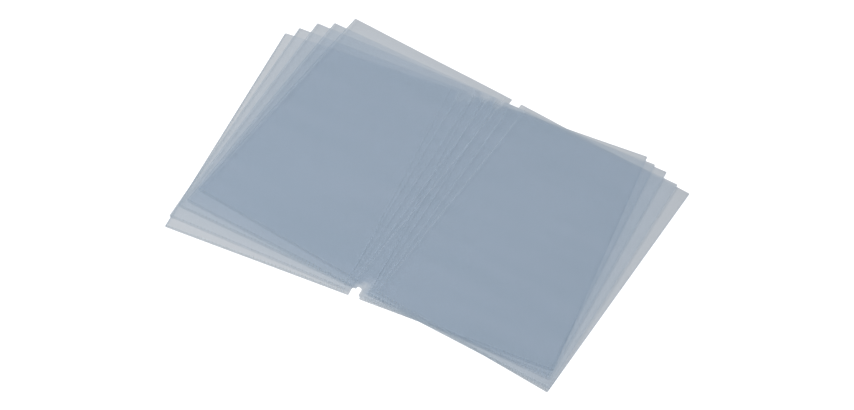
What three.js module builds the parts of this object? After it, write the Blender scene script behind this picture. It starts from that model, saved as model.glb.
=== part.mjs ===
// A fanned pack of clear film menu insert sleeves, lying open and face up.
// Each sleeve is a spread of two top-loading pockets either side of a narrow spine strip.
// Units are millimetres. X runs along the width of the middle sleeve, Y towards the pocket
// mouths and Z up. The origin is the bottom centre of the whole pack.

import * as THREE from 'three';

// Sleeve outline
const SLEEVE_WIDTH = 456;
const SLEEVE_HEIGHT = 305;
const CORNER_RADIUS = 1.5;

// Film and the space between the two films of a pocket
const FILM_THICKNESS = 0.2;
const POCKET_GAP = 0.4;

// Spine strip between the two fold lines, with a round-ended cord notch at each end
const SPINE_WIDTH = 23;
const FOLD_GAP = 0.4;
const NOTCH_WIDTH = 12;
const NOTCH_DEPTH = 14;

// Heat-welded seams that close each pocket along three sides
const SEAM_WIDTH = 3.2;
const SEAM_EDGE_INSET = 0.8;
const SEAM_FOLD_INSET = 0.3;
const SEAM_END_GAP = 0.3;

// Air between one sleeve and the next
const STACK_GAP = 0.3;

// Where each sleeve lies, from the lowest up: its centre and its turn in degrees,
// measured from the middle sleeve
const LAY = [
  { x: -13.9, y: -9.3, turn: 5.17 },
  { x: -9.1, y: -6.0, turn: 2.53 },
  { x: 0, y: 0, turn: 0 },
  { x: 11.2, y: -0.6, turn: -2.56 },
  { x: 21.4, y: 5.7, turn: -5.45 },
];

// Steps in each rounded corner and in each half of a notch's round end
const CORNER_STEPS = 6;
const NOTCH_STEPS = 10;

// Places that follow from the sizes above
const HALF_WIDTH = SLEEVE_WIDTH / 2;
const HALF_HEIGHT = SLEEVE_HEIGHT / 2;
const LEAF_INNER_X = SPINE_WIDTH / 2 + FOLD_GAP;
const FRONT_FILM_Z = FILM_THICKNESS + POCKET_GAP;
const SLEEVE_THICKNESS = FRONT_FILM_Z + FILM_THICKNESS;
const SLEEVE_PITCH = SLEEVE_THICKNESS + STACK_GAP;

const SIDES = [
  { name: 'left', sign: -1 },
  { name: 'right', sign: 1 },
];

const FILM_COLOUR = 0xb9c4d2;
const SEAM_COLOUR = 0x8e9cae;

// Clear blue-grey soft vinyl, calendered smooth
function filmMaterial() {
  return new THREE.MeshStandardMaterial({
    color: FILM_COLOUR,
    roughness: 0.22,
    metalness: 0,
    transparent: true,
    opacity: 0.4,
  });
}

// The same vinyl where the two films are melted together
function seamMaterial() {
  return new THREE.MeshStandardMaterial({
    color: SEAM_COLOUR,
    roughness: 0.4,
    metalness: 0,
    transparent: true,
    opacity: 0.7,
  });
}

function namedMesh(name, geometry, material) {
  const mesh = new THREE.Mesh(geometry, material);
  mesh.name = name;
  return mesh;
}

// A flat sheet of film cut to an outline
function filmSheet(name, outline, z) {
  const geometry = new THREE.ExtrudeGeometry(outline, {
    depth: FILM_THICKNESS,
    bevelEnabled: false,
    curveSegments: NOTCH_STEPS,
  });
  const mesh = namedMesh(name, geometry, filmMaterial());
  mesh.position.z = z;
  return mesh;
}

// A straight weld bead that fills the space between the two films of a pocket
function seamBead(name, sign, left, right, bottom, top) {
  const geometry = new THREE.BoxGeometry(right - left, top - bottom, POCKET_GAP);
  const mesh = namedMesh(name, geometry, seamMaterial());
  mesh.position.set(
    (sign * (left + right)) / 2,
    (bottom + top) / 2,
    FILM_THICKNESS + POCKET_GAP / 2,
  );
  return mesh;
}

// One leaf's outline: square at the fold, with small radii at the two outer corners
function leafOutline(sign) {
  const right = new THREE.Path();
  const arcX = HALF_WIDTH - CORNER_RADIUS;
  const arcY = HALF_HEIGHT - CORNER_RADIUS;
  right.moveTo(LEAF_INNER_X, -HALF_HEIGHT);
  right.lineTo(arcX, -HALF_HEIGHT);
  right.absarc(arcX, -arcY, CORNER_RADIUS, -Math.PI / 2, 0, false);
  right.absarc(arcX, arcY, CORNER_RADIUS, 0, Math.PI / 2, false);
  right.lineTo(LEAF_INNER_X, HALF_HEIGHT);
  const points = right.getPoints(CORNER_STEPS);
  return new THREE.Shape(points.map((p) => new THREE.Vector2(sign * p.x, p.y)));
}

// The spine strip's outline, with a round-ended notch in the middle of its top and bottom
function spineOutline() {
  const halfSpine = SPINE_WIDTH / 2;
  const notchRadius = NOTCH_WIDTH / 2;
  const notchCentre = HALF_HEIGHT - NOTCH_DEPTH + notchRadius;
  const outline = new THREE.Shape();
  outline.moveTo(-halfSpine, -HALF_HEIGHT);
  outline.lineTo(-notchRadius, -HALF_HEIGHT);
  outline.absarc(0, -notchCentre, notchRadius, Math.PI, 0, true);
  outline.lineTo(notchRadius, -HALF_HEIGHT);
  outline.lineTo(halfSpine, -HALF_HEIGHT);
  outline.lineTo(halfSpine, HALF_HEIGHT);
  outline.lineTo(notchRadius, HALF_HEIGHT);
  outline.absarc(0, notchCentre, notchRadius, 0, -Math.PI, true);
  outline.lineTo(-notchRadius, HALF_HEIGHT);
  outline.lineTo(-halfSpine, HALF_HEIGHT);
  return outline;
}

// A leaf is a pocket: two films, welded along the bottom, the outer side and the fold,
// and open along the top
function makeLeaf(prefix, side) {
  const leaf = new THREE.Group();
  const name = `${prefix}_${side.name}`;
  const outline = leafOutline(side.sign);
  leaf.add(filmSheet(`${name}_back_film`, outline, 0));
  leaf.add(filmSheet(`${name}_front_film`, outline, FRONT_FILM_Z));

  const foldX = LEAF_INNER_X + SEAM_FOLD_INSET;
  const outerX = HALF_WIDTH - SEAM_EDGE_INSET;
  const bottomY = -HALF_HEIGHT + SEAM_EDGE_INSET;
  const sideY = bottomY + SEAM_WIDTH + SEAM_END_GAP;
  const topY = HALF_HEIGHT - SEAM_EDGE_INSET;
  const { sign } = side;
  leaf.add(seamBead(`${name}_bottom_weld`, sign, foldX, outerX, bottomY, bottomY + SEAM_WIDTH));
  leaf.add(seamBead(`${name}_outer_weld`, sign, outerX - SEAM_WIDTH, outerX, sideY, topY));
  leaf.add(seamBead(`${name}_fold_weld`, sign, foldX, foldX + SEAM_WIDTH, sideY, topY));
  return leaf;
}

// The spine is a double strip of film between the two folds, with nothing between its layers
function makeSpine(prefix) {
  const spine = new THREE.Group();
  const outline = spineOutline();
  spine.add(filmSheet(`${prefix}_spine_back_strip`, outline, 0));
  spine.add(filmSheet(`${prefix}_spine_front_strip`, outline, FRONT_FILM_Z));
  return spine;
}

function makeSleeve(prefix) {
  const sleeve = new THREE.Group();
  sleeve.add(makeSpine(prefix));
  for (const side of SIDES) {
    sleeve.add(makeLeaf(prefix, side));
  }
  return sleeve;
}

// The pack: each sleeve lies flat on the one below, turned and shifted as it was laid
function makePack() {
  const pack = new THREE.Group();
  LAY.forEach((place, level) => {
    const sleeve = makeSleeve(`sleeve_${level + 1}`);
    sleeve.position.set(place.x, place.y, level * SLEEVE_PITCH);
    sleeve.rotation.z = THREE.MathUtils.degToRad(place.turn);
    pack.add(sleeve);
  });
  return pack;
}

// Puts the origin at the bottom centre of the pack's bounding box
function centred(pack) {
  pack.updateMatrixWorld(true);
  const box = new THREE.Box3().setFromObject(pack, true);
  pack.position.set(-(box.min.x + box.max.x) / 2, -(box.min.y + box.max.y) / 2, -box.min.z);
  return pack;
}

export default centred(makePack());
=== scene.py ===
import math

import bpy
import numpy as np
from mathutils import Matrix, Vector
from mathutils.geometry import delaunay_2d_cdt


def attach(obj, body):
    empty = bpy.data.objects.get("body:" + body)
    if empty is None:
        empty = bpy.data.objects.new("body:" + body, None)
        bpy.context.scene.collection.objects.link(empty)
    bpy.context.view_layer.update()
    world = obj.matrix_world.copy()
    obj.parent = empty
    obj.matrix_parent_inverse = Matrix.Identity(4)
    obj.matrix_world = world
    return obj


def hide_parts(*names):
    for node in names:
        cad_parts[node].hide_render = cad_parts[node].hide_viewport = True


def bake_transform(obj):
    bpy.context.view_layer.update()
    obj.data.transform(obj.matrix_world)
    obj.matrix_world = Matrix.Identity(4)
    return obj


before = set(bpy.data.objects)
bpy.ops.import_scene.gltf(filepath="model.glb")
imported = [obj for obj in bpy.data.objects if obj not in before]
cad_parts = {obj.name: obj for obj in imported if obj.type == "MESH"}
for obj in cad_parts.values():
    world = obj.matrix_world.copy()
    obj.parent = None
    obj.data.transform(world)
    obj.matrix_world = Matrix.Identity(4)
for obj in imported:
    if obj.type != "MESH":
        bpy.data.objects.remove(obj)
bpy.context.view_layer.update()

MM = 0.001


# The photograph looks down on the pack from the front right, from about two metres away,
# with a long lens and a very slight roll.
VIEW_TARGET = Vector((7.516, -15.230, 0.0)) * MM
VIEW_AZIMUTH = math.radians(27.054)
VIEW_ELEVATION = math.radians(54.990)
VIEW_ROLL = math.radians(1.495)
VIEW_DISTANCE = 1950.05 * MM
LENS_MM = 73.930
SENSOR_MM = 36.0
CLIP_START = 0.05
CLIP_END = 60.0

towards_camera = Vector((
    math.cos(VIEW_ELEVATION) * math.sin(VIEW_AZIMUTH),
    -math.cos(VIEW_ELEVATION) * math.cos(VIEW_AZIMUTH),
    math.sin(VIEW_ELEVATION),
))
level_right = Vector((0, 0, 1)).cross(towards_camera).normalized()
level_up = towards_camera.cross(level_right)
rolled_right = level_right * math.cos(VIEW_ROLL) + level_up * math.sin(VIEW_ROLL)
rolled_up = level_up * math.cos(VIEW_ROLL) - level_right * math.sin(VIEW_ROLL)

camera_data = bpy.data.cameras.new("camera")
camera_data.lens = LENS_MM
camera_data.sensor_width = SENSOR_MM
camera_data.sensor_fit = "HORIZONTAL"
camera_data.clip_start = CLIP_START
camera_data.clip_end = CLIP_END
camera = bpy.data.objects.new("camera", camera_data)
bpy.context.scene.collection.objects.link(camera)
turn = Matrix((rolled_right, rolled_up, towards_camera)).transposed()
camera.matrix_world = (
    Matrix.Translation(VIEW_TARGET + towards_camera * VIEW_DISTANCE) @ turn.to_4x4()
)
bpy.context.scene.camera = camera
bpy.context.scene.view_settings.view_transform = "Standard"

# A ray meets both faces of ten films and of the weld marks between them. None is ended early,
# which keeps the stack free of grain and its smallest marks clear.
TRANSPARENT_BOUNCES = 96
bpy.context.scene.cycles.transparent_max_bounces = TRANSPARENT_BOUNCES
bpy.context.scene.cycles.min_transparent_bounces = TRANSPARENT_BOUNCES
bpy.context.scene.cycles.min_light_bounces = 3
# The film scatters very little, so light that has bounced twice adds nothing that shows.
bpy.context.scene.cycles.max_bounces = 3
bpy.context.scene.cycles.diffuse_bounces = 2
bpy.context.scene.cycles.glossy_bounces = 2


# A plain pale grey table top. Looked at directly it is as white as the photograph's background,
# and under the film it shows its own grey, lit by the soft box.
def hex_colour(text, alpha=1.0):
    """An sRGB hex colour as the linear values a shader takes."""
    parts = [int(text[i:i + 2], 16) / 255 for i in (0, 2, 4)]
    linear = [c / 12.92 if c <= 0.04045 else ((c + 0.055) / 1.055) ** 2.4 for c in parts]
    return (*linear, alpha)


def add_node(tree, kind, links=None, **settings):
    """Adds a node. Names of sockets set values, other names set the node's own settings."""
    node = tree.nodes.new(kind)
    sockets = settings.pop("values", {})
    for name, value in settings.items():
        setattr(node, name, value)
    for name, value in sockets.items():
        node.inputs[name].default_value = value
    for name, source in (links or {}).items():
        tree.links.new(source, node.inputs[name])
    return node


def new_material(name):
    """An empty node material and its output node."""
    material = bpy.data.materials.new(name)
    material.use_nodes = True
    tree = material.node_tree
    tree.nodes.clear()
    return material, tree, add_node(tree, "ShaderNodeOutputMaterial")


FLOOR_HALF_SIZE = 6.0
FLOOR_Z = -0.2 * MM
FLOOR_GREY = "E0E2E5"
FLOOR_MOTTLE = "DEE0E3"
FLOOR_WHITE = 0.75
MOTTLE_SCALE = 9.0
NO_FILM_MET = 0.5

floor_mesh = bpy.data.meshes.new("table_top")
floor_corners = [
    (x * FLOOR_HALF_SIZE, y * FLOOR_HALF_SIZE, FLOOR_Z)
    for x, y in ((-1, -1), (1, -1), (1, 1), (-1, 1))
]
floor_mesh.from_pydata(floor_corners, [], [(0, 1, 2, 3)])
floor = bpy.data.objects.new("table_top", floor_mesh)
bpy.context.scene.collection.objects.link(floor)

# Matt painted board: no gloss, and a mottle too faint to see except close up.
floor_material, tree, output = new_material("matt_painted_board")
path = add_node(tree, "ShaderNodeLightPath")
where = add_node(tree, "ShaderNodeTexCoord")
mottle = add_node(
    tree, "ShaderNodeTexNoise", {"Vector": where.outputs["Object"]},
    values={"Scale": MOTTLE_SCALE, "Detail": 3.0},
)
grey = add_node(
    tree, "ShaderNodeMix", {0: mottle.outputs["Fac"]}, data_type="RGBA",
    values={6: hex_colour(FLOOR_GREY), 7: hex_colour(FLOOR_MOTTLE)},
)
board = add_node(
    tree, "ShaderNodeBsdfDiffuse", {"Color": grey.outputs[2]}, values={"Roughness": 0.5}
)
# Only rays that come straight from the camera or a mirror, with no film on their way, see the
# white.
bare = add_node(
    tree, "ShaderNodeMath", {0: path.outputs["Transparent Depth"]}, operation="LESS_THAN",
    values={1: NO_FILM_MET},
)
seen = add_node(
    tree, "ShaderNodeMath", {0: path.outputs["Is Camera Ray"], 1: bare.outputs[0]},
    operation="MULTIPLY",
)
seen = add_node(
    tree, "ShaderNodeMath", {0: seen.outputs[0], 1: path.outputs["Is Glossy Ray"]},
    operation="MAXIMUM",
)
seen = add_node(
    tree, "ShaderNodeMath", {0: seen.outputs[0], 1: path.outputs["Is Transmission Ray"]},
    operation="MAXIMUM",
)
strength = add_node(
    tree, "ShaderNodeMath", {0: seen.outputs[0]}, operation="MULTIPLY", values={1: FLOOR_WHITE}
)
white = add_node(
    tree, "ShaderNodeEmission", {"Strength": strength.outputs[0]}, values={"Color": (1, 1, 1, 1)}
)
both = add_node(tree, "ShaderNodeAddShader", {0: board.outputs[0], 1: white.outputs[0]})
tree.links.new(both.outputs[0], output.inputs["Surface"])
floor_mesh.materials.append(floor_material)

# Seen directly the room is white. In reflections it is white round the horizon and dimmer
# overhead, as a ceiling is. As a light it is dim, so that nearly all the light is the soft box's.
ROOM_LIGHT = 0.06
ROOM_SEEN = 1.0
CEILING_SEEN = 0.35
CEILING_FROM = 0.35
CEILING_TO = 0.75
world = bpy.data.worlds.new("even_white_room")
bpy.context.scene.world = world
world.use_nodes = True
tree = world.node_tree
tree.nodes.clear()
output = add_node(tree, "ShaderNodeOutputWorld")
path = add_node(tree, "ShaderNodeLightPath")
where = add_node(tree, "ShaderNodeTexCoord")
axes = add_node(tree, "ShaderNodeSeparateXYZ", {0: where.outputs["Generated"]})
overhead = add_node(
    tree, "ShaderNodeMapRange", {"Value": axes.outputs["Z"]},
    values={
        "From Min": CEILING_FROM, "From Max": CEILING_TO,
        "To Min": ROOM_SEEN, "To Max": CEILING_SEEN,
    },
)
mirrored = add_node(
    tree, "ShaderNodeMath",
    {0: path.outputs["Is Glossy Ray"], 1: path.outputs["Is Transmission Ray"]},
    operation="MAXIMUM",
)
strength = add_node(
    tree, "ShaderNodeMix", {0: mirrored.outputs[0], 3: overhead.outputs[0]},
    data_type="FLOAT", values={2: ROOM_LIGHT},
)
strength = add_node(
    tree, "ShaderNodeMix", {0: path.outputs["Is Camera Ray"], 2: strength.outputs[0]},
    data_type="FLOAT", values={3: ROOM_SEEN},
)
room = add_node(
    tree, "ShaderNodeBackground", {"Strength": strength.outputs[0]}, values={"Color": (1, 1, 1, 1)}
)
tree.links.new(room.outputs[0], output.inputs["Surface"])
world.cycles.sampling_method = "NONE"

# One soft box, high on the left. It isn't mirrored in the film, as a studio lamp is kept out of
# a glossy sheet's mirror.
LAMP_SIZE = 2.0
LAMP_POWER = 130.0
LAMP_PLACE = Vector((-1.2, -1.3, 3.4))
lamp_data = bpy.data.lights.new("softbox", "AREA")
lamp_data.shape = "SQUARE"
lamp_data.size = LAMP_SIZE
lamp_data.energy = LAMP_POWER
lamp = bpy.data.objects.new("softbox", lamp_data)
bpy.context.scene.collection.objects.link(lamp)
lamp_turn = LAMP_PLACE.to_track_quat("Z", "Y").to_matrix().to_4x4()
lamp.matrix_world = Matrix.Translation(LAMP_PLACE) @ lamp_turn
lamp.visible_glossy = False


# Each sleeve is two sheets of clear, faintly blue soft vinyl, calendered smooth and 0.15 mm thick.
# Both are die-cut to one outline: small round corners and a round-ended cord notch in the middle
# of the top and bottom edges. They lie loose on each other except along the welds.
SLEEVE_WIDTH = 456.0
SLEEVE_HEIGHT = 305.0
HALF_WIDTH = SLEEVE_WIDTH / 2
HALF_HEIGHT = SLEEVE_HEIGHT / 2
CORNER_RADIUS = 1.5
NOTCH_WIDTH = 12.0
NOTCH_DEPTH = 14.0
NOTCH_LIP = 1.6
SHEET_THICKNESS = 0.15
SLEEVE_PITCH = 1.1
SLEEVE_MIDDLE_Z = 0.36
FILMS_APART = 0.20
FILMS_PRESSED = 0.08
PRESSED_REACH = 14.0
WELD_INSET = 2.5
FOLD_WELD_X = 13.9
# Steps of the small arcs, and the grid of points inside a sheet. Its columns stand closest where
# the film bends at a fold.
NOTCH_STEPS = 10
LIP_STEPS = 4
CORNER_STEPS = 5
GRID_STEP = 7.0
NEAR_EDGE = 8.0
FOLD_COLUMNS = (10.4, 10.9, 11.3, 11.7, 12.1, 12.5, FOLD_WELD_X, 20.0)
NOTCH_COLUMN = 3.5
FIRST_EVEN_COLUMN = 27.0
LAST_EVEN_COLUMN = HALF_WIDTH - 10.0
LAST_EVEN_ROW = HALF_HEIGHT - 15.0
EVEN_ROWS = 40
KEEP_OFF = 1.0
KEEP_OFF_RIM = 1.2
INSIDE_ONLY = 1
MERGE_DISTANCE = 1e-4
# Where the sleeves lie, from the lowest up: place and turn in degrees, as in the part.
PACK_SHIFT = (-4.0663, 1.2829)
LAY = [
    (-13.9, -9.3, 5.17),
    (-9.1, -6.0, 2.53),
    (0.0, 0.0, 0.0),
    (11.2, -0.6, -2.56),
    (21.4, 5.7, -5.45),
]
TOP_LEVEL = len(LAY) - 1
# The relaxed film stands in shallow waves: place, reach and height in millimetres.
WAVES = [
    (18.0, 165.0, 105.0, 85.0, 1.9),
    (-150.0, 60.0, 90.0, 70.0, 0.9),
    (120.0, -40.0, 80.0, 90.0, 1.0),
    (-70.0, -110.0, 80.0, 60.0, 0.6),
]


def wave_height(x, y):
    """How far the films stand above flat at a place on the table, in millimetres."""
    z = 0.0
    for cx, cy, reach_x, reach_y, height in WAVES:
        z = z + height * np.exp(-(((x - cx) / reach_x) ** 2) - (((y - cy) / reach_y) ** 2))
    return z


def arc(cx, cy, radius, start, end, steps):
    """Points on a circle from one angle in degrees to another."""
    angles = np.radians(np.linspace(start, end, steps + 1))
    return [(cx + radius * math.cos(a), cy + radius * math.sin(a)) for a in angles]


def half_outline(sign):
    """The outline of one half of a sheet, from the middle of its bottom edge to the middle of
    its top edge, going round the outside."""
    radius = NOTCH_WIDTH / 2
    centre = HALF_HEIGHT - NOTCH_DEPTH + radius
    lip_x, lip_y = radius + NOTCH_LIP, HALF_HEIGHT - NOTCH_LIP
    corner_x, corner_y = HALF_WIDTH - CORNER_RADIUS, HALF_HEIGHT - CORNER_RADIUS
    points = arc(0, -centre, radius, 90, 0, NOTCH_STEPS)
    points += arc(lip_x, -lip_y, NOTCH_LIP, 180, 270, LIP_STEPS)
    points += arc(corner_x, -corner_y, CORNER_RADIUS, 270, 360, CORNER_STEPS)
    points += arc(corner_x, corner_y, CORNER_RADIUS, 0, 90, CORNER_STEPS)
    points += arc(lip_x, lip_y, NOTCH_LIP, 90, 180, LIP_STEPS)
    points += arc(0, centre, radius, 0, -90, NOTCH_STEPS)
    return [(sign * x, y) for x, y in points]


def even_steps(points, step):
    """The same closed line with points added where they lie further apart than step."""
    result = []
    for i in range(len(points)):
        a, b = np.array(points[i]), np.array(points[(i + 1) % len(points)])
        pieces = max(1, int(math.ceil(np.linalg.norm(b - a) / step)))
        result += [tuple(a + (b - a) * k / pieces) for k in range(pieces)]
    return result


def sheet_plan(outline, left, right):
    """Triangles that fill an outline, with points on a grid and along the welds."""
    rim = even_steps(outline, GRID_STEP)
    even_columns = np.arange(FIRST_EVEN_COLUMN, LAST_EVEN_COLUMN, GRID_STEP)
    columns = [
        WELD_INSET - HALF_WIDTH, NEAR_EDGE - HALF_WIDTH,
        HALF_WIDTH - NEAR_EDGE, HALF_WIDTH - WELD_INSET,
    ]
    for sign in (-1, 1):
        columns += [sign * x for x in FOLD_COLUMNS]
    columns += list(even_columns) + list(-even_columns) + [-NOTCH_COLUMN, NOTCH_COLUMN]
    rows = [
        WELD_INSET - HALF_HEIGHT, NEAR_EDGE - HALF_HEIGHT,
        HALF_HEIGHT - WELD_INSET, HALF_HEIGHT - NEAR_EDGE,
    ]
    rows += list(np.linspace(-LAST_EVEN_ROW, LAST_EVEN_ROW, EVEN_ROWS))
    edge = np.array(rim)
    notch_x, notch_y = NOTCH_WIDTH / 2 + KEEP_OFF, HALF_HEIGHT - NOTCH_DEPTH - KEEP_OFF
    inner = []
    for x in columns:
        if not left + KEEP_OFF < x < right - KEEP_OFF:
            continue
        for y in rows:
            in_notch = abs(x) < notch_x and abs(y) > notch_y
            if not in_notch and np.min(np.hypot(edge[:, 0] - x, edge[:, 1] - y)) > KEEP_OFF_RIM:
                inner.append((x, y))
    points = [Vector(p) for p in rim + inner]
    edges = [(i, (i + 1) % len(rim)) for i in range(len(rim))]
    plan, _, faces, *_ = delaunay_2d_cdt(points, edges, [], INSIDE_ONLY, MERGE_DISTANCE)
    return np.array([tuple(p) for p in plan]), [tuple(f) for f in faces]


def press(x, y):
    """0 on a weld, where the films touch, to 1 where the pocket stands open."""
    to_side = np.abs(HALF_WIDTH - WELD_INSET - np.abs(x))
    to_fold = np.abs(np.abs(x) - FOLD_WELD_X)
    to_bottom = np.abs(y + HALF_HEIGHT - WELD_INSET)
    near = np.minimum(np.minimum(to_side, to_fold), to_bottom)
    t = np.clip(near / PRESSED_REACH, 0, 1)
    return t * t * (3 - 2 * t)


def place_on_table(level, x, y, z):
    """A sleeve's own x and y and a height in it, as places in the row frame in metres."""
    lay_x, lay_y, degrees = LAY[level]
    angle = math.radians(degrees)
    table_x = PACK_SHIFT[0] + lay_x + x * math.cos(angle) - y * math.sin(angle)
    table_y = PACK_SHIFT[1] + lay_y + x * math.sin(angle) + y * math.cos(angle)
    table_z = level * SLEEVE_PITCH + z + wave_height(table_x, table_y)
    return np.stack([table_x, table_y, table_z], axis=-1) * MM


def mesh_object(name, points, edges=(), faces=()):
    """An object at the origin with its place in its mesh."""
    mesh = bpy.data.meshes.new(name)
    mesh.from_pydata([tuple(p) for p in points], edges, faces)
    thing = bpy.data.objects.new(name, mesh)
    bpy.context.scene.collection.objects.link(thing)
    return thing


SHARP_ANGLE = math.radians(40)


def film_sheet(name, level, above, plan, triangles, materials):
    """One sheet as a closed solid: upper face, lower face and the cut rim between them."""
    x, y = plan[:, 0], plan[:, 1]
    open_share = press(x, y)
    gap = FILMS_PRESSED + (FILMS_APART - FILMS_PRESSED) * open_share
    middle = SLEEVE_MIDDLE_Z + above * gap
    top = place_on_table(level, x, y, middle + SHEET_THICKNESS / 2)
    bottom = place_on_table(level, x, y, middle - SHEET_THICKNESS / 2)
    count = len(plan)
    faces, slots, directed = [], [], set()
    for a, b, c in triangles:
        area = (plan[b][0] - plan[a][0]) * (plan[c][1] - plan[a][1])
        area -= (plan[c][0] - plan[a][0]) * (plan[b][1] - plan[a][1])
        if area < 0:
            b, c = c, b
        faces += [(a, b, c), (c + count, b + count, a + count)]
        slots += [0, 0]
        directed.update([(a, b), (b, c), (c, a)])
    for a, b in sorted(directed):
        if (b, a) not in directed:
            faces.append((a, a + count, b + count, b))
            slots.append(1)
    sheet = mesh_object(name, np.concatenate([top, bottom]), faces=faces)
    for material in materials:
        sheet.data.materials.append(material)
    sheet.data.polygons.foreach_set("material_index", slots)
    sheet.data.polygons.foreach_set("use_smooth", [True] * len(sheet.data.polygons))
    sheet.data.update()
    sheet.data.set_sharp_from_angle(angle=SHARP_ANGLE)
    return sheet


# Soft vinyl film: clear with a faint blue-grey tint, calendered so smooth that it mirrors the
# room. Its tint is a little uneven, in the streaks that calendering leaves along the web.
VINYL_IOR = 1.40
VINYL_TINT = (0.9867, 0.9917, 0.9967, 1)
STREAK_TINT = (0.9853, 0.9908, 0.9958, 1)
STREAK_SCALE = (1000 / 170, 1000 / 18, 1.0)
STREAK_FROM = 0.3
STREAK_TO = 0.7
RIPPLE_SCALE = 1000 / 45
RIPPLE_HEIGHT = 0.4 * MM
RIPPLE_STRENGTH = 0.2


def vinyl(name, tint, haze=0.0, haze_colour="FFFFFF", roughness=0.0, streak_tint=None):
    """Clear film: tinted see-through body, milky haze (a painted highlight on weld swells and
    bottom beads), and a gloss that grows at low angles. With a streak tint, the tint varies and the
    surface has a slight ripple."""
    material, tree, output = new_material(name)
    body = clear = add_node(tree, "ShaderNodeBsdfTransparent", values={"Color": tint})
    if haze:
        milky = add_node(
            tree, "ShaderNodeBsdfDiffuse",
            values={"Color": hex_colour(haze_colour), "Roughness": 0.3},
        )
        body = add_node(
            tree, "ShaderNodeMixShader", {1: clear.outputs[0], 2: milky.outputs[0]},
            values={0: haze},
        )
    gloss = add_node(
        tree, "ShaderNodeBsdfGlossy", values={"Color": (1, 1, 1, 1), "Roughness": roughness}
    )
    if streak_tint:
        place = add_node(tree, "ShaderNodeTexCoord")
        stretch = add_node(
            tree, "ShaderNodeMapping", {"Vector": place.outputs["Object"]},
            values={"Scale": STREAK_SCALE},
        )
        cloud = add_node(
            tree, "ShaderNodeTexNoise", {"Vector": stretch.outputs[0]},
            values={"Scale": 1.0, "Detail": 1.0, "Roughness": 0.5},
        )
        share = add_node(
            tree, "ShaderNodeMapRange", {"Value": cloud.outputs["Fac"]},
            values={"From Min": STREAK_FROM, "From Max": STREAK_TO},
        )
        shade = add_node(
            tree, "ShaderNodeMix", {0: share.outputs[0]},
            data_type="RGBA", values={6: tint, 7: streak_tint},
        )
        tree.links.new(shade.outputs[2], clear.inputs["Color"])
        ripple = add_node(
            tree, "ShaderNodeTexNoise", {"Vector": place.outputs["Object"]},
            values={"Scale": RIPPLE_SCALE, "Detail": 0.0},
        )
        bump = add_node(
            tree, "ShaderNodeBump", {"Height": ripple.outputs["Fac"]},
            values={"Strength": RIPPLE_STRENGTH, "Distance": RIPPLE_HEIGHT},
        )
        tree.links.new(bump.outputs[0], gloss.inputs["Normal"])
    # Only faces that point outwards mirror the room: a film's inner side doesn't, for a ray that
    # goes straight through.
    mirror = add_node(tree, "ShaderNodeFresnel", values={"IOR": VINYL_IOR})
    inside = add_node(tree, "ShaderNodeNewGeometry")
    outer = add_node(
        tree, "ShaderNodeMath", {1: inside.outputs["Backfacing"]},
        operation="SUBTRACT", values={0: 1.0},
    )
    mirror = add_node(
        tree, "ShaderNodeMath", {0: mirror.outputs[0], 1: outer.outputs[0]}, operation="MULTIPLY"
    )
    surface = add_node(
        tree, "ShaderNodeMixShader", {0: mirror.outputs[0], 1: body.outputs[0], 2: gloss.outputs[0]}
    )
    tree.links.new(surface.outputs[0], output.inputs["Surface"])
    return material


def deepened(tint, depth):
    """A tint seen through more or less of the same vinyl."""
    return (*[channel ** depth for channel in tint[:3]], 1)


# The sleeves aren't all tinted alike, as reels of film differ a little. From the lowest up:
TINT_DEPTHS = (0.75, 0.9, 1.05, 1.35, 1.0)
film_finishes = [
    vinyl(
        f"calendered_clear_vinyl_{level + 1}", deepened(VINYL_TINT, depth),
        streak_tint=deepened(STREAK_TINT, depth),
    )
    for level, depth in enumerate(TINT_DEPTHS)
]

# The cut rim shows more of the vinyl's own colour, because light runs along inside the sheet.
rim_finish = vinyl("die_cut_vinyl_edge", (0.84, 0.88, 0.91, 1), 0.08, "B4CADC")

full_outline = half_outline(1) + half_outline(-1)[::-1]
SAME_POINT = 1e-6
cleaned = [p for i, p in enumerate(full_outline) if math.dist(p, full_outline[i - 1]) > SAME_POINT]
full_plan, full_triangles = sheet_plan(cleaned, -HALF_WIDTH, HALF_WIDTH)

for level in range(TOP_LEVEL):
    sleeve = f"sleeve_{level + 1}"
    for face, above in (("back", -1), ("front", 1)):
        sheet = film_sheet(
            f"{sleeve}_{face}_sheet", level, above, full_plan, full_triangles,
            [film_finishes[level], rim_finish],
        )
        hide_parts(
            f"{sleeve}_left_{face}_film", f"{sleeve}_spine_{face}_strip",
            f"{sleeve}_right_{face}_film",
        )
        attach(sheet, sleeve)


for side, sign in (("left", -1), ("right", 1)):
    outline = half_outline(sign)
    if sign < 0:
        outline = outline[::-1]
    left, right = sorted((0.0, sign * HALF_WIDTH))
    plan, triangles = sheet_plan(outline, left, right)
    for face, above in (("back", -1), ("front", 1)):
        sheet = film_sheet(
            f"top_{side}_{face}_sheet", TOP_LEVEL, above, plan, triangles,
            [film_finishes[TOP_LEVEL], rim_finish],
        )
        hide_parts(f"sleeve_5_{side}_{face}_film", f"sleeve_5_spine_{face}_strip")
        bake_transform(sheet)


# A knurled, heated wheel or bar melts the two films of a pocket together along the bottom, the
# outer side and the fold of each leaf. It leaves a row of small sunk pads, with swells of
# pushed-up vinyl between them. The pads' darker tint is painted shade and the swells' milky white
# is a painted glint.
MARK_SEGMENTS = 8
MARK_RINGS = 4
SECOND_SEED = 101.0
SEAM_POINT_STEP = 6.0


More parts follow.
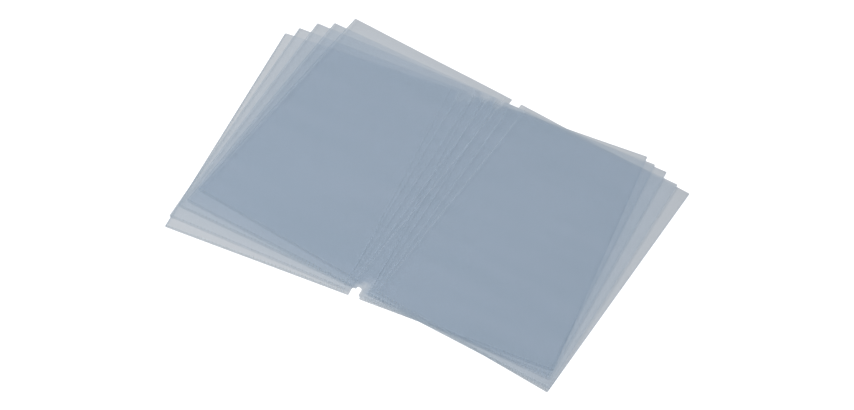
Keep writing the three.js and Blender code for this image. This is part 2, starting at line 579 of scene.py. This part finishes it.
def weld_row_tree():
    """Sets alternate sunk pads and swells along a line; the swells carry a painted glint."""
    tree = bpy.data.node_groups.new("weld_row", "GeometryNodeTree")
    tree.interface.new_socket("Seam", in_out="INPUT", socket_type="NodeSocketGeometry")
    for name in (
        "Pitch", "Pad Length", "Pad Width", "Swell Length", "Swell Width", "Height", "Slant",
        "Unevenness",
    ):
        tree.interface.new_socket(name, in_out="INPUT", socket_type="NodeSocketFloat")
    tree.interface.new_socket("Seed", in_out="INPUT", socket_type="NodeSocketInt")
    for name in ("Pad Material", "Swell Material"):
        tree.interface.new_socket(name, in_out="INPUT", socket_type="NodeSocketMaterial")
    tree.interface.new_socket("Marks", in_out="OUTPUT", socket_type="NodeSocketGeometry")
    given = add_node(tree, "NodeGroupInput").outputs
    result = add_node(tree, "NodeGroupOutput")
    curve = add_node(tree, "GeometryNodeMeshToCurve", {"Mesh": given["Seam"]})
    half_pitch = add_node(
        tree, "ShaderNodeMath", {0: given["Pitch"]}, operation="MULTIPLY", values={1: 0.5}
    )
    row = add_node(
        tree, "GeometryNodeResampleCurve",
        {"Curve": curve.outputs[0], "Length": half_pitch.outputs[0]}, mode="LENGTH",
    )
    index = add_node(tree, "GeometryNodeInputIndex")
    odd = add_node(
        tree, "ShaderNodeMath", {0: index.outputs[0]}, operation="MODULO", values={1: 2.0}
    )
    even = add_node(
        tree, "ShaderNodeMath", {1: odd.outputs[0]}, operation="SUBTRACT", values={0: 1.0}
    )
    tangent = add_node(tree, "GeometryNodeInputTangent")
    along = add_node(
        tree, "FunctionNodeAlignRotationToVector", {"Vector": tangent.outputs[0]}, axis="X"
    )
    low = add_node(
        tree, "ShaderNodeMath", {0: given["Unevenness"]}, operation="MULTIPLY", values={1: -1.0}
    )
    sway = add_node(
        tree, "FunctionNodeRandomValue",
        {2: low.outputs[0], 3: given["Unevenness"], 8: given["Seed"]}, data_type="FLOAT",
    )
    angle = add_node(
        tree, "ShaderNodeMath", {0: given["Slant"], 1: sway.outputs[1]}, operation="ADD"
    )
    euler = add_node(tree, "ShaderNodeCombineXYZ", {"Z": angle.outputs[0]})
    turned = add_node(
        tree, "FunctionNodeRotateRotation",
        {"Rotation": along.outputs[0], "Rotate By": euler.outputs[0]}, rotation_space="LOCAL",
    )
    other_seed = add_node(
        tree, "ShaderNodeMath", {0: given["Seed"]}, operation="ADD", values={1: SECOND_SEED}
    )
    swell_size = add_node(
        tree, "ShaderNodeMath", {1: given["Unevenness"]}, operation="SUBTRACT", values={0: 1.0}
    )
    size = add_node(
        tree, "FunctionNodeRandomValue", {2: swell_size.outputs[0], 8: other_seed.outputs[0]},
        data_type="FLOAT", values={3: 1.0},
    )
    joined = add_node(tree, "GeometryNodeJoinGeometry")
    for length, width, finish, chosen in (
        ("Pad Length", "Pad Width", "Pad Material", even),
        ("Swell Length", "Swell Width", "Swell Material", odd),
    ):
        ball = add_node(
            tree, "GeometryNodeMeshUVSphere",
            values={"Segments": MARK_SEGMENTS, "Rings": MARK_RINGS, "Radius": 0.5},
        )
        scale = add_node(
            tree, "ShaderNodeCombineXYZ",
            {"X": given[width], "Y": given[length], "Z": given["Height"]},
        )
        shaped = add_node(
            tree, "GeometryNodeTransform", {"Geometry": ball.outputs[0], "Scale": scale.outputs[0]}
        )
        placed = add_node(
            tree, "GeometryNodeInstanceOnPoints",
            {
                "Points": row.outputs[0], "Selection": chosen.outputs[0],
                "Instance": shaped.outputs[0], "Rotation": turned.outputs[0],
                "Scale": size.outputs[1],
            },
        )
        real = add_node(tree, "GeometryNodeRealizeInstances", {"Geometry": placed.outputs[0]})
        smooth = add_node(tree, "GeometryNodeSetShadeSmooth", {"Geometry": real.outputs[0]})
        finished = add_node(
            tree, "GeometryNodeSetMaterial",
            {"Geometry": smooth.outputs[0], "Material": given[finish]},
        )
        tree.links.new(finished.outputs[0], joined.inputs[0])
    tree.links.new(joined.outputs[0], result.inputs[0])
    return tree


def seam_line(name, level, start, end):
    """A line of joined points between two places on a sleeve, lying in the films' wave."""
    steps = max(2, int(math.dist(start, end) / SEAM_POINT_STEP))
    share = np.linspace(0, 1, steps + 1)
    x = start[0] + (end[0] - start[0]) * share
    y = start[1] + (end[1] - start[1]) * share
    points = place_on_table(level, x, y, SLEEVE_MIDDLE_Z)
    return mesh_object(name, points, edges=[(i, i + 1) for i in range(steps)])


def grown(line, tree, settings):
    """Runs a tree on an object and keeps the result as its plain mesh."""
    modifier = line.modifiers.new("grow", "NODES")
    modifier.node_group = tree
    for item in tree.interface.items_tree:
        if item.in_out == "INPUT" and item.name in settings:
            modifier[item.identifier] = settings[item.name]
    graph = bpy.context.evaluated_depsgraph_get()
    made = bpy.data.meshes.new_from_object(line.evaluated_get(graph))
    line.modifiers.clear()
    while made.materials and made.materials[0] is None:
        made.materials.pop(index=0)
    line.data = made
    return line


# Vinyl melted and pressed thin. Each pad's darker tint is painted shade: it stands in for the light
# that the sunk pads bend aside.
pad_painted_shade_finish = vinyl("pressed_weld_pad_painted_shade", (0.94, 0.953, 0.963, 1))
# Vinyl pushed up between the pads, rounded. Its milky white haze is a painted glint: it stands in
# for the light these swells catch.
swell_painted_glint_finish = vinyl("weld_swell_painted_glint", (0.99, 0.99, 0.99, 1), 0.15, "E4F0F8")

weld_row = weld_row_tree()
DEGREE = math.pi / 180
BOTTOM_ROW = {
    "Pitch": 4.5 * MM, "Pad Length": 3.3 * MM, "Pad Width": 2.1 * MM, "Swell Length": 2.8 * MM,
    "Swell Width": 1.6 * MM, "Height": 0.5 * MM, "Slant": 26 * DEGREE, "Unevenness": 0.12,
}
# The outer rows differ by side: on the left, large dark pads give painted shade; on the right,
# small pads and bright dots give painted glints, as the light falls from the left.
LEFT_ROW = {
    "Pitch": 4.0 * MM, "Pad Length": 2.6 * MM, "Pad Width": 2.0 * MM, "Swell Length": 0.8 * MM,
    "Swell Width": 0.6 * MM, "Height": 0.5 * MM, "Slant": 8 * DEGREE, "Unevenness": 0.3,
}
RIGHT_ROW = {
    "Pitch": 4.2 * MM, "Pad Length": 1.4 * MM, "Pad Width": 1.2 * MM, "Swell Length": 0.9 * MM,
    "Swell Width": 0.9 * MM, "Height": 0.5 * MM, "Slant": 0.0, "Unevenness": 0.25,
}
FOLD_ROW = {
    "Pitch": 3.6 * MM, "Pad Length": 0.8 * MM, "Pad Width": 1.2 * MM, "Swell Length": 1.5 * MM,
    "Swell Width": 1.8 * MM, "Height": 0.5 * MM, "Slant": 0.0, "Unevenness": 0.2,
}
OUTER_ROWS = {"left": LEFT_ROW, "right": RIGHT_ROW}
OUTER_INSET = {"left": 1.8, "right": 2.4}
BOTTOM_INSET = 2.5
BOTTOM_ROW_END = 1.2
SIDE_ROW_FOOT = 3.4
SIDE_ROW_HEAD = 2.0


def leaf_body(level, side):
    """The body that a leaf's pieces move with."""
    return f"top_{side}_leaf" if level == TOP_LEVEL else f"sleeve_{level + 1}"


for level in range(len(LAY)):
    for side, sign in (("left", -1), ("right", 1)):
        ends = sorted((sign * (FOLD_WELD_X - BOTTOM_ROW_END), sign * (HALF_WIDTH - BOTTOM_ROW_END)))
        outer_x = sign * (HALF_WIDTH - OUTER_INSET[side])
        fold_x = sign * FOLD_WELD_X
        low_y = -HALF_HEIGHT + BOTTOM_INSET
        foot, head = low_y + SIDE_ROW_FOOT, HALF_HEIGHT - SIDE_ROW_HEAD
        seams = (
            ("bottom", (ends[0], low_y), (ends[1], low_y), BOTTOM_ROW),
            ("outer", (outer_x, foot), (outer_x, head), OUTER_ROWS[side]),
            ("fold", (fold_x, foot), (fold_x, head), FOLD_ROW),
        )
        for order, (seam, start, end, sizes) in enumerate(seams):
            node = f"sleeve_{level + 1}_{side}_{seam}_weld"
            marks = seam_line(f"{node}_marks", level, start, end)
            seed = level * 10 + order * 3 + (sign + 1) // 2
            grown(
                marks, weld_row,
                {**sizes, "Seed": seed, "Pad Material": pad_painted_shade_finish, "Swell Material": swell_painted_glint_finish},
            )
            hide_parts(node)
            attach(marks, leaf_body(level, side))


# Where the hot bar cuts the sleeve off its web, the two films shrink back into a thin bead along
# the outer side and the bottom.
BEAD_SIDES = 8


def bead_tree():
    """Sweeps a flattened round bead along a line."""
    tree = bpy.data.node_groups.new("sealed_bead", "GeometryNodeTree")
    tree.interface.new_socket("Edge", in_out="INPUT", socket_type="NodeSocketGeometry")
    for name in ("Width", "Height"):
        tree.interface.new_socket(name, in_out="INPUT", socket_type="NodeSocketFloat")
    tree.interface.new_socket("Material", in_out="INPUT", socket_type="NodeSocketMaterial")
    tree.interface.new_socket("Bead", in_out="OUTPUT", socket_type="NodeSocketGeometry")
    given = add_node(tree, "NodeGroupInput").outputs
    result = add_node(tree, "NodeGroupOutput")
    curve = add_node(tree, "GeometryNodeMeshToCurve", {"Mesh": given["Edge"]})
    upright = add_node(
        tree, "GeometryNodeSetCurveNormal", {"Curve": curve.outputs[0]}, mode="Z_UP"
    )
    ring = add_node(
        tree, "GeometryNodeCurvePrimitiveCircle", values={"Resolution": BEAD_SIDES, "Radius": 0.5}
    )
    scale = add_node(tree, "ShaderNodeCombineXYZ", {"X": given["Width"], "Y": given["Height"]})
    flat = add_node(
        tree, "GeometryNodeTransform", {"Geometry": ring.outputs[0], "Scale": scale.outputs[0]}
    )
    swept = add_node(
        tree, "GeometryNodeCurveToMesh",
        {"Curve": upright.outputs[0], "Profile Curve": flat.outputs[0]},
        values={"Fill Caps": True},
    )
    smooth = add_node(tree, "GeometryNodeSetShadeSmooth", {"Geometry": swept.outputs[0]})
    real = add_node(tree, "GeometryNodeRealizeInstances", {"Geometry": smooth.outputs[0]})
    finished = add_node(
        tree, "GeometryNodeSetMaterial",
        {"Geometry": real.outputs[0], "Material": given["Material"]},
    )
    tree.links.new(finished.outputs[0], result.inputs[0])
    return tree


# Along the outer sides the bead's darker tint is painted shade: it stands in for the fine dark line
# of shade along these edges.
side_bead_painted_shade_finish = vinyl("side_bead_painted_shade", (0.91, 0.93, 0.945, 1))
# Along the bottom the bead's milky white haze is a painted highlight, and it reads as a fine light
# line.
bottom_bead_painted_highlight_finish = vinyl("bottom_bead_painted_highlight", (0.99, 0.99, 0.99, 1), 0.10, "EAF1F6")

sealed_bead = bead_tree()
OUTER_BEAD = {"Width": 0.8 * MM, "Height": 0.46 * MM, "Material": side_bead_painted_shade_finish}
BOTTOM_BEAD = {"Width": 0.6 * MM, "Height": 0.42 * MM, "Material": bottom_bead_painted_highlight_finish}
OUTER_BEAD_INSET = 0.5
BOTTOM_BEAD_INSET = 0.35
BEAD_END_INSET = 1.6
BEAD_FOLD_X = 13.0

for level in range(len(LAY)):
    for side, sign in (("left", -1), ("right", 1)):
        edge_x = sign * (HALF_WIDTH - OUTER_BEAD_INSET)
        edge_y = -HALF_HEIGHT + BOTTOM_BEAD_INSET
        end_x, end_y = HALF_WIDTH - BEAD_END_INSET, HALF_HEIGHT - BEAD_END_INSET
        runs = (
            ("outer", (edge_x, -end_y), (edge_x, end_y), OUTER_BEAD),
            ("bottom", (sign * BEAD_FOLD_X, edge_y), (sign * end_x, edge_y), BOTTOM_BEAD),
        )
        for seam, start, end, sizes in runs:
            bead = seam_line(f"sleeve_{level + 1}_{side}_{seam}_edge", level, start, end)
            grown(bead, sealed_bead, sizes)
            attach(bead, leaf_body(level, side))
